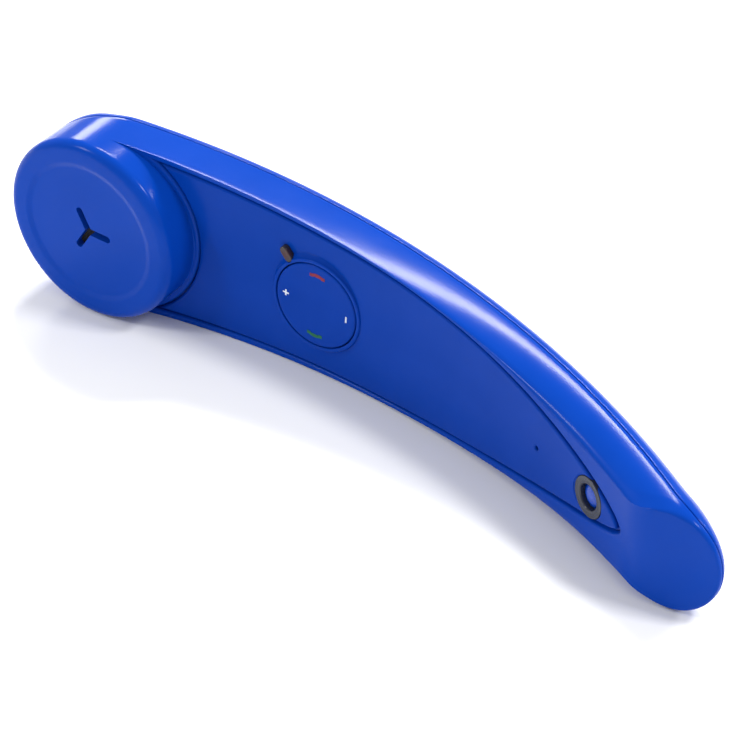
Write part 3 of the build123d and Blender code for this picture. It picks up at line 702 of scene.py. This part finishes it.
frontShell = makeFrontShell()
cutAway(frontShell, [earSlots(), throughHole(controls["floorHole"], controls["padX"], False),
                     throughHole(controls["powerHole"], controls["powerX"]),
                     throughHole(controls["microphoneHole"], controls["microphoneX"], vertices=24),
                     windowCutter(16)])
smooth(frontShell)
layDown(frontShell, "root", "shell_blue", "front_shell")


# ---- back shell ----
backShape = {
    "depthEar": 9.5,
    "depthMouth": 7.6,
    "levelZ": 19.0,           # towards the mouth end the back's curve levels off below this height
    "levelEase": 10.0,
    "leanLow": -0.6,          # limits of the back's slope along the limb
    "leanHigh": 0.55,
    "round": 2.0,
    "boxyEnd": 3.6,           # squareness of the end wall that holds the charging socket
    "boxyStart": 0.15,        # as shares of the ear cup's radius, behind its centre
    "boxyLength": 0.6,
    "flankSteps": 220,
    "mouthSteps": 46,
    "socketZ": -13.6,
    "socketWidth": 8.3,
    "socketHeight": 4.5,
    "socketDepth": 12.0,
    "socketCorner": 0.8,
}


def makeBackShell():
    shape = backShape
    lengths = np.concatenate([np.linspace(0, flankLength, shape["flankSteps"], endpoint=False),
                              np.linspace(flankLength, outlineLength, shape["mouthSteps"])])
    outline, inward, spine, _ = limbOutline(lengths)
    ring = cupOutline(cupAngles[::-1])[:-1]
    outline = np.concatenate([ring * form["earRadius"], outline])
    inward = np.concatenate([-ring, inward])
    spine = np.concatenate([ring * 0, spine])
    behind = -outline[:, 0] / form["earRadius"]
    boxy = smoothStep((behind - shape["boxyStart"]) / shape["boxyLength"])
    power = shape["round"] + (shape["boxyEnd"] - shape["round"]) * boxy

    def backPoint(inset, turn, thin):
        # a point of the back: inset is the wall left outside it, turn runs from the seam to the middle line
        across = np.cos(turn) ** (2 / power)
        down = np.sin(turn) ** (2 / power)
        point = spine + (outline + inward * inset - spine) * across[:, None]
        x = point[:, 0]
        slope = np.clip((x - form["panelLowX"]) / form["seamArc"], shape["leanLow"], shape["leanHigh"])
        share = np.clip(x / form["length"], 0, 1)
        depth = shape["depthEar"] + (shape["depthMouth"] - shape["depthEar"]) * share - thin
        under = smoothMin(seamArcZ(x), shape["levelZ"] + 0 * x, shape["levelEase"])
        under = under - depth / np.sqrt(1 - slope ** 2)
        return np.column_stack([point, seamZ(x) - (seamZ(x) - under) * down])

    turns = np.linspace(0, math.pi / 2, 22)[::-1][:-2:2]
    rows = [backPoint(form["wall"], turn, form["wall"]) for turn in turns]
    rows += backRim(outline, inward)
    edge = shellShape["seamGap"] + shellShape["seamRound"]
    first = math.asin(edge / shape["depthEar"])
    for t in np.linspace(0, 1, 40)[1:]:
        rows.append(backPoint(0.0, first * (1 - t) + math.pi / 2 * t, 0.0))
    return joinHalf("backShell", [layGrid(rows)])


def socketCutter():
    # a box with rounded edges through the end wall
    shape = backShape
    deselectAll()
    bpy.ops.mesh.primitive_cube_add(size=1)
    obj = bpy.context.object
    obj.scale = (shape["socketDepth"], shape["socketWidth"], shape["socketHeight"])
    bpy.ops.object.transform_apply(location=True, rotation=True, scale=True)
    bevel = obj.modifiers.new("corners", "BEVEL")
    bevel.width = shape["socketCorner"]
    bevel.segments = 4
    applyModifiers(obj)
    return stand(obj, (-form["earRadius"], 0, shape["socketZ"]))


backShell = makeBackShell()
cutAway(backShell, [socketCutter()])
smooth(backShell)
layDown(backShell, "root", "shell_blue", "back_shell")


# ---- control panel ----
panelShape = {
    "edge": 0.65,             # rounding beside the groove
    "crown": 0.3,             # rise of the middle over the edges
    "sunk": 0.12,             # of its edges, below the shell's front
    "thickness": 1.5,
    "lip": 0.25,              # rounding of the ring's inner edge and the power seat
    "seatGap": 0.05,
    "microphoneFlare": 0.3,
    "microphoneLift": 0.1,
    "bossFlat": 13.5,
    "bossEdge": 0.45,
    "bossBase": 15.4,
    "bossFoot": -13.4,
    "bossPower": 1.7,         # hollowness of the slope
    "bossWall": 0.6,          # kept inside the hole's radius until the hole is cut
    "bossSunk": 0.3,
    "cutDepth": 6.0,          # the pad hole's cutter
    "cutSunk": 1.0,
}


def panelTop(plan, halfWidth):
    share = np.clip(plan[..., 1:] / np.maximum(halfWidth, 1e-6)[None, :, None], 0, 1)
    return panelZ(plan[..., :1]) - panelShape["sunk"] + panelShape["crown"] * (1 - share ** 2)


def makeBoss():
    # the raised ring round the pad: hole's wall, rounded lip, sloping shoulder
    shape = panelShape
    top = controls["padZ"]
    hole = controls["padHole"]
    inner = hole - shape["bossWall"]
    profile = [(inner, shape["bossFoot"]), (hole, shape["bossFoot"])]
    profile += roundedEdge(hole, top, shape["lip"], inward=False)
    profile += roundedEdge(shape["bossFlat"], top, shape["bossEdge"])[::-1]
    height = top - shape["bossEdge"] - shape["bossFoot"]
    for t in np.linspace(0, 1, 9)[1:]:
        radius = shape["bossFlat"] + (shape["bossBase"] - shape["bossFlat"]) * t
        drop = shape["bossEdge"] + height * (1 - (1 - t) ** shape["bossPower"])
        profile.append((radius, top - drop))
    profile.append((shape["bossBase"], shape["bossFoot"] - shape["bossSunk"]))
    profile.append((inner, shape["bossFoot"] - shape["bossSunk"]))
    return stand(lathe(profile, 128), (controls["padX"], 0, 0))


def flaredCutter(radius, edge, depth=6.0, height=4.0):
    # a round cutter that rounds the rim of its hole
    profile = [(0, -depth), (radius, -depth)]
    for k in range(6):
        turn = math.pi / 2 * k / 5
        profile.append((radius + edge * (1 - math.cos(turn)), -edge + edge * math.sin(turn)))
    profile += [(radius + edge * 1.4, edge * 0.6), (radius + edge * 1.4, height), (0, height)]
    return lathe(profile, 72)


def panelSide(railOf, topZ):
    # rounded edge and side of the panel along one of its rails
    half = grooveHalf()
    edge = panelShape["edge"]
    rows = []
    for k in range(6):
        turn = math.pi / 2 * k / 5
        rail = railOf(-half - edge * (1 - math.sin(turn)))
        rows.append(np.column_stack([rail, topZ - edge * (1 - math.cos(turn))]))
    rail = railOf(-half)
    start = topZ - edge
    floor = panelZ(rail[:, 0], panelShape["thickness"])
    rows += [np.column_stack([rail, start + (floor - start) * k / 2]) for k in (1, 2)]
    return layGrid(rows)


def panelHoles():
    # cutters for the pad, the power button, the microphone and the window
    shape = panelShape
    deselectAll()
    bpy.ops.mesh.primitive_cylinder_add(vertices=128, radius=controls["padHole"], depth=shape["cutDepth"])
    pad = stand(bpy.context.object, (controls["padX"], 0, controls["padZ"] - shape["cutSunk"]))
    middle, tilt = onPanel(controls["powerX"])
    power = stand(flaredCutter(controls["powerSeat"] + shape["seatGap"], shape["lip"]), middle, tilt)
    middle, tilt = onPanel(controls["microphoneX"])
    microphone = flaredCutter(controls["microphoneHole"], shape["microphoneFlare"])
    stand(microphone, middle + Vector((0, 0, shape["microphoneLift"])), tilt)
    return [pad, power, microphone, windowCutter(10)]


def makePanel():
    half = grooveHalf()
    edge = panelShape["edge"]
    plan = fillLeaf(leafRail(-half - edge), cupRail(-half - edge)[:, 0], innerShare)
    top = panelTop(plan, leafRail(-half)[:, 1])
    grids = [heightGrid(plan, top), panelSide(leafRail, top[-1, :, 0]), panelSide(cupRail, top[:, 0, 0])]
    plan = fillLeaf(leafRail(-half), cupRail(-half)[:, 0], innerShare)
    grids.append(heightGrid(plan, panelZ(plan[..., :1], panelShape["thickness"])))
    panel = joinHalf("controlPanel", grids)
    combine(panel, makeBoss(), "UNION")
    cutAway(panel, panelHoles())
    smooth(panel, 30)
    return panel


layDown(makePanel(), "root", "panel_blue", "control_panel")


# ---- key pad, power button and window ----
padShape = {"radius": 12.15, "edge": 0.45, "footEdge": 0.3, "dish": 0.12, "thickness": 1.5}


def makePad():
    shape = padShape
    radius, dish, foot = shape["radius"], shape["dish"], -shape["thickness"]
    profile = [(0, foot), (radius - shape["footEdge"], foot), (radius, foot + shape["footEdge"])]
    profile += roundedEdge(radius, 0, shape["edge"])
    profile += [(11.0, -0.01), (9.0, -0.6 * dish), (6.0, -0.9 * dish), (0, -dish)]
    pad = stand(lathe(profile, 128), (controls["padX"], 0, controls["padZ"]))
    return smoothAs(pad, "keyPad", 35)


ringShape = {"proud": 0.12, "innerDrop": 0.05, "edge": 0.22, "innerEdge": 0.5, "foot": -1.4}


def makePowerRing():
    shape = ringShape
    outer, inner = controls["powerSeat"], controls["powerHole"]
    profile = [(inner, shape["foot"]), (outer, shape["foot"])]
    profile += roundedEdge(outer, shape["proud"], shape["edge"])
    profile += roundedEdge(inner, shape["proud"] - shape["innerDrop"], shape["innerEdge"], inward=False)[::-1]
    ring = stand(lathe(profile, 72), *onPanel(controls["powerX"]))
    return smoothAs(ring, "powerRing", 40)


powerShape = {"recess": 0.3, "radius": 3.15, "dome": 5.0, "height": 2.2, "footEdge": 0.2, "domeInset": 0.08}


def makePowerButton():
    shape = powerShape
    radius, dome = shape["radius"], shape["dome"]
    foot = -shape["recess"] - shape["height"]
    profile = [(0, foot), (radius - shape["footEdge"], foot), (radius, foot + shape["footEdge"])]
    for k in range(13):
        away = radius * (1 - k / 12)
        height = -shape["recess"] - dome + math.sqrt(dome ** 2 - away ** 2)
        profile.append((min(away, radius - shape["domeInset"]), height))
    button = stand(lathe(profile, 72), *onPanel(controls["powerX"]))
    return smoothAs(button, "powerButton", 50)


windowShape = {"fit": 0.1, "height": 1.8, "sunk": 0.95, "edge": 0.3}


def makeWindow():
    shape = windowShape
    length, width = controls["windowLength"] - shape["fit"], controls["windowWidth"] - shape["fit"]
    window = pill(length, width, shape["height"])
    bevel = window.modifiers.new("edge", "BEVEL")
    bevel.width = shape["edge"]
    bevel.segments = 3
    bevel.limit_method = "ANGLE"
    bevel.angle_limit = math.radians(60)
    applyModifiers(window)
    place, turn = windowPlace()
    stand(window, place - Vector((0, 0, shape["sunk"])), 0, turn)
    return smoothAs(window, "statusWindow", 40)


layDown(makePad(), "key_pad", "pad_blue", "key_pad")
layDown(makePowerRing(), "root", "smoked_plastic", "power_ring")
layDown(makePowerButton(), "power_button", "button_blue", "power_button")
layDown(makeWindow(), "root", "smoked_plastic", "indicator_window")


# ---- materials ----
class Wire:
    # a number inside a material, with arithmetic made of Math nodes
    def __init__(self, graph, socket):
        self.graph = graph
        self.socket = socket

    def maths(self, operation, first, second):
        return self.graph.add("ShaderNodeMath", {"operation": operation}, {0: first, 1: second})

    def __add__(self, other):
        return self.maths("ADD", self, other)

    def __radd__(self, other):
        return self.maths("ADD", other, self)

    def __sub__(self, other):
        return self.maths("SUBTRACT", self, other)

    def __rsub__(self, other):
        return self.maths("SUBTRACT", other, self)

    def __mul__(self, other):
        return self.maths("MULTIPLY", self, other)

    def __rmul__(self, other):
        return self.maths("MULTIPLY", other, self)

    def __truediv__(self, other):
        return self.maths("DIVIDE", self, other)

    def __rtruediv__(self, other):
        return self.maths("DIVIDE", other, self)

    def __pow__(self, other):
        return self.maths("POWER", self, other)

    def __rpow__(self, other):
        return self.maths("POWER", other, self)

    def __neg__(self):
        return self.maths("MULTIPLY", self, -1.0)


class Graph:
    # one material's nodes
    def __init__(self, name):
        self.material = bpy.data.materials.new(name)
        self.material.use_nodes = True
        self.tree = self.material.node_tree
        self.shader = self.tree.nodes["Principled BSDF"]

    def use(self, name, value):
        # links or sets one of the shader's own sockets
        self.feed(self.shader.inputs[name], value)

    def feed(self, socket, value):
        if isinstance(value, Wire):
            self.tree.links.new(value.socket, socket)
        else:
            socket.default_value = value

    def add(self, kind, settings, sockets, output=0):
        node = self.tree.nodes.new(kind)
        for key, value in settings.items():
            setattr(node, key, value)
        for key, value in sockets.items():
            self.feed(node.inputs[key], value)
        return Wire(self, node.outputs[output])

    def place(self, stretch=(1, 1, 1)):
        # the spot on the object, stretched
        spot = self.add("ShaderNodeTexCoord", {}, {}, "Object")
        return self.add("ShaderNodeVectorMath", {"operation": "MULTIPLY"}, {0: spot, 1: stretch})

    def noise(self, scale, stretch=(1, 1, 1), detail=3.0):
        sockets = {"Vector": self.place(stretch), "Scale": scale, "Detail": detail}
        return self.add("ShaderNodeTexNoise", {}, sockets)

    def blend(self, factor, first, second):
        sockets = {0: factor, 6: (*first, 1), 7: (*second, 1)}
        return self.add("ShaderNodeMix", {"data_type": "RGBA"}, sockets, 2)

    def clamp(self, value, low, high):
        return self.add("ShaderNodeMapRange", {}, {0: value, 1: low, 2: high})

    def relief(self, height, strength, distance):
        sockets = {"Height": height, "Strength": strength, "Distance": distance}
        self.use("Normal", self.add("ShaderNodeBump", {}, sockets))


# per finish: two colours, size of the grain (per metre), roughness from and to, metal, bump, gloss
finishes = {
    "shell_blue": ((0.0012, 0.047, 0.375), (0.002, 0.051, 0.40), 55, 0.13, 0.18, 0, 0.012, 0.075),
    "panel_blue": ((0.0010, 0.042, 0.34), (0.002, 0.046, 0.365), 70, 0.16, 0.21, 0, 0.015, 0.06),
    "pad_blue": ((0.0010, 0.040, 0.33), (0.002, 0.045, 0.36), 90, 0.16, 0.22, 0, 0.012, 0.055),
    "button_blue": ((0.001, 0.050, 0.42), (0.002, 0.055, 0.46), 120, 0.08, 0.12, 0, 0.005, 0.5),
    "lamp_resin": ((0.35, 0.05, 0.04), (0.45, 0.08, 0.05), 400, 0.2, 0.3, 0, 0.02, 0.5),
    "white_print": ((0.72, 0.76, 0.84), (0.62, 0.68, 0.80), 900, 0.35, 0.5, 0, 0.05, 0.3),
    "red_print": ((0.24, 0.012, 0.03), (0.18, 0.010, 0.03), 900, 0.35, 0.5, 0, 0.05, 0.3),
    "green_print": ((0.004, 0.13, 0.05), (0.003, 0.10, 0.045), 900, 0.35, 0.5, 0, 0.05, 0.3),
    "black_plastic": ((0.012, 0.012, 0.013), (0.02, 0.02, 0.022), 300, 0.35, 0.5, 0, 0.08, 0.4),
    "black_rubber": ((0.010, 0.010, 0.011), (0.018, 0.018, 0.018), 500, 0.7, 0.85, 0, 0.15, 0.25),
    "black_foam": ((0.008, 0.008, 0.009), (0.03, 0.03, 0.032), 1800, 0.9, 1.0, 0, 0.6, 0.1),
    "connector_plastic": ((0.60, 0.56, 0.46), (0.68, 0.64, 0.54), 400, 0.4, 0.55, 0, 0.05, 0.4),
    "ceramic_white": ((0.74, 0.73, 0.70), (0.66, 0.65, 0.62), 500, 0.3, 0.45, 0, 0.04, 0.4),
    "cone_paper": ((0.05, 0.048, 0.045), (0.09, 0.085, 0.08), 900, 0.8, 0.95, 0, 0.35, 0.2),
    "wire_red": ((0.42, 0.012, 0.010), (0.34, 0.010, 0.010), 350, 0.35, 0.5, 0, 0.04, 0.4),
    "switch_steel": ((0.60, 0.60, 0.60), (0.48, 0.48, 0.49), 500, 0.25, 0.42, 1, 0.05, 0.5),
    "can_steel": ((0.62, 0.62, 0.60), (0.50, 0.50, 0.49), 220, 0.28, 0.45, 1, 0.08, 0.5),
    "socket_steel": ((0.58, 0.58, 0.58), (0.45, 0.45, 0.46), 300, 0.22, 0.38, 1, 0.05, 0.5),
    "screw_steel": ((0.40, 0.40, 0.42), (0.28, 0.28, 0.30), 600, 0.3, 0.5, 1, 0.08, 0.5),
    "magnet_nickel": ((0.66, 0.62, 0.56), (0.55, 0.52, 0.47), 260, 0.18, 0.32, 1, 0.03, 0.5),
}


def plainFinish(name):
    # two close colours in soft clouds, uneven gloss and a fine grain
    first, second, size, smoothest, roughest, metal, grain, gloss = finishes[name]
    graph = Graph(name + "Finish")
    cloud = graph.clamp(graph.noise(size), 0.3, 0.7)
    graph.use("Base Color", graph.blend(cloud, first, second))
    wear = graph.noise(size * 2.6, (1, 1, 1), 5)
    graph.use("Roughness", smoothest + wear * (roughest - smoothest))
    graph.use("Metallic", metal)
    graph.use("Specular IOR Level", gloss)
    graph.relief(graph.noise(size * 9, (1, 1, 1), 2), grain, 0.0004)
    return graph.material


def stripes(graph, axis, pitch):
    # a wave along one direction, from 0 to 1
    x = graph.add("ShaderNodeSeparateXYZ", {}, {0: graph.place()}, axis)
    wave = graph.add("ShaderNodeMath", {"operation": "SINE"}, {0: x * (math.tau / pitch)})
    return wave * 0.5 + 0.5


def clothFinish():
    graph = Graph("meshClothFinish")
    weave = stripes(graph, "X", 0.0005) * stripes(graph, "Z", 0.0005)
    graph.use("Base Color", graph.blend(weave, (0.004, 0.004, 0.005), (0.05, 0.05, 0.055)))
    graph.use("Roughness", 0.95 - weave * 0.25)
    graph.relief(weave, 0.5, 0.0002)
    return graph.material


def boardFinish():
    # solder mask with lighter tracks under it
    graph = Graph("boardGreenFinish")
    tracks = stripes(graph, "X", 0.0016) ** 8.0
    grid = graph.clamp(graph.noise(260, (1, 1, 3), 0), 0.5, 0.56)
    seen = tracks * grid
    graph.use("Base Color", graph.blend(seen, (0.006, 0.075, 0.022), (0.02, 0.17, 0.05)))
    graph.use("Roughness", 0.3 + graph.noise(500) * 0.15)
    graph.relief(seen, 0.25, 0.0001)
    return graph.material


def ribbonFinish():
    # polyimide film over copper tracks that run along it
    graph = Graph("ribbonFilmFinish")
    tracks = graph.clamp(stripes(graph, "Z", 0.001), 0.45, 0.55)
    graph.use("Base Color", graph.blend(tracks, (0.32, 0.11, 0.018), (0.55, 0.24, 0.05)))
    graph.use("Roughness", 0.28 + graph.noise(400) * 0.12)
    graph.relief(tracks, 0.2, 0.0001)
    return graph.material


def foilFinish():
    # crinkled pouch foil
    graph = Graph("batteryFoilFinish")
    folds = graph.add("ShaderNodeTexVoronoi", {"feature": "DISTANCE_TO_EDGE"},
                      {"Vector": graph.place(), "Scale": 190.0}, "Distance")
    tone = graph.clamp(graph.noise(90), 0.3, 0.7)
    graph.use("Base Color", graph.blend(tone, (0.62, 0.62, 0.64), (0.74, 0.74, 0.75)))
    graph.use("Roughness", 0.26 + tone * 0.14)
    graph.use("Metallic", 0.9)
    graph.relief(graph.clamp(folds, 0.0, 0.2), 0.25, 0.0003)
    return graph.material


def smokedFinish(name, middle, reach, inside, outside):
    # dark glossy plastic that changes from one colour to the other round its middle
    graph = Graph(name)
    sockets = {0: graph.place(), 1: middle}
    away = graph.add("ShaderNodeVectorMath", {"operation": "DISTANCE"}, sockets, "Value")
    near = graph.clamp(away / reach + (graph.noise(700) - 0.5) * 0.4, 0.2, 1.0)
    graph.use("Base Color", graph.blend(near, inside, outside))
    graph.use("Roughness", 0.12 + graph.noise(420) * 0.1)
    graph.use("Specular IOR Level", 0.35)
    graph.use("Coat Weight", 0.1)
    graph.relief(graph.noise(2500), 0.02, 0.0002)
    return graph.material


materials = {name: plainFinish(name) for name in finishes}
materials["mesh_cloth"] = clothFinish()
materials["board_green"] = boardFinish()
materials["ribbon_film"] = ribbonFinish()
materials["battery_foil"] = foilFinish()
ringMiddle = laidDown @ onPanel(controls["powerX"])[0]
windowMiddle = laidDown @ windowPlace()[0]
materials["smoked_plastic"] = smokedFinish("smokedRingFinish", ringMiddle, 0.0055,
                                           (0.012, 0.016, 0.035), (0.03, 0.034, 0.05))
windowFinish = smokedFinish("smokedWindowFinish", windowMiddle, 0.0022,
                            (0.055, 0.016, 0.018), (0.03, 0.028, 0.032))

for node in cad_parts.values():
    for slot in node.material_slots:
        if slot.material and slot.material.name in materials:
            slot.material = materials[slot.material.name]
for piece, name in pieceSlots:
    piece.data.materials.clear()
    piece.data.materials.append(windowFinish if piece.name == "statusWindow" else materials[name])
print("materials:", len(materials))


# ---- floor, light and camera ----
studio = {
    "target": (0.00104, -0.00634, 0.01884),
    "distance": 0.8478,
    "azimuth": 34.8,
    "elevation": 36.3,
    "lens": 167.74,
    "sensor": 36.0,
    "floorSize": 6.0,
    "surround": 0.60,
    # each lamp's place, where it points, width, height, watts
    "lamps": (
        ((-0.30, 0.50, 0.80), (0.0, 0.0, 0.02), 0.30, 0.09, 7.0),
        ((0.55, 0.15, 0.75), (0.05, 0.0, 0.02), 0.16, 0.16, 4.0),
        ((-0.60, -0.55, 0.60), (-0.06, 0.0, 0.02), 0.18, 0.18, 2.5),
        ((0.50, 0.60, 0.40), (-0.06, 0.0, 0.03), 0.16, 0.22, 2.5),
        ((-0.65, 0.62, 0.36), (-0.08, 0.0, 0.04), 0.22, 0.16, 2.2),
    ),
}

bpy.ops.mesh.primitive_plane_add(size=studio["floorSize"])
floor = bpy.context.object
floor.name = floor.data.name = "floor"
paper = Graph("paperFinish")
mottle = paper.noise(30)
paper.use("Base Color", paper.blend(mottle, (0.94, 0.94, 0.94), (0.96, 0.96, 0.96)))
paper.use("Roughness", 0.85 + mottle * 0.1)
paper.use("Specular IOR Level", 0.1)
floor.data.materials.append(paper.material)

for index, (spot, aim, width, height, watts) in enumerate(studio["lamps"]):
    turn = (Vector(spot) - Vector(aim)).to_track_quat("Z", "Y").to_euler()
    bpy.ops.object.light_add(type="AREA", location=spot, rotation=turn)
    lamp = bpy.context.object
    lamp.name = lamp.data.name = "softbox" + str(index + 1)
    lamp.data.shape = "RECTANGLE"
    lamp.data.size = width
    lamp.data.size_y = height
    lamp.data.energy = watts

world = bpy.data.worlds.new("studioWorld")
bpy.context.scene.world = world
world.use_nodes = True
world.node_tree.nodes["Background"].inputs["Color"].default_value = (1, 1, 1, 1)
world.node_tree.nodes["Background"].inputs["Strength"].default_value = studio["surround"]

azimuth, elevation = math.radians(studio["azimuth"]), math.radians(studio["elevation"])
level = math.cos(elevation)
back = Vector((math.sin(azimuth) * level, -math.cos(azimuth) * level, math.sin(elevation)))
bpy.ops.object.camera_add(location=Vector(studio["target"]) + back * studio["distance"],
                          rotation=back.to_track_quat("Z", "Y").to_euler())
camera = bpy.context.object
camera.data.lens = studio["lens"]
camera.data.sensor_width = studio["sensor"]
bpy.context.scene.camera = camera
bpy.context.scene.view_settings.view_transform = "Standard"
print("studio ready")
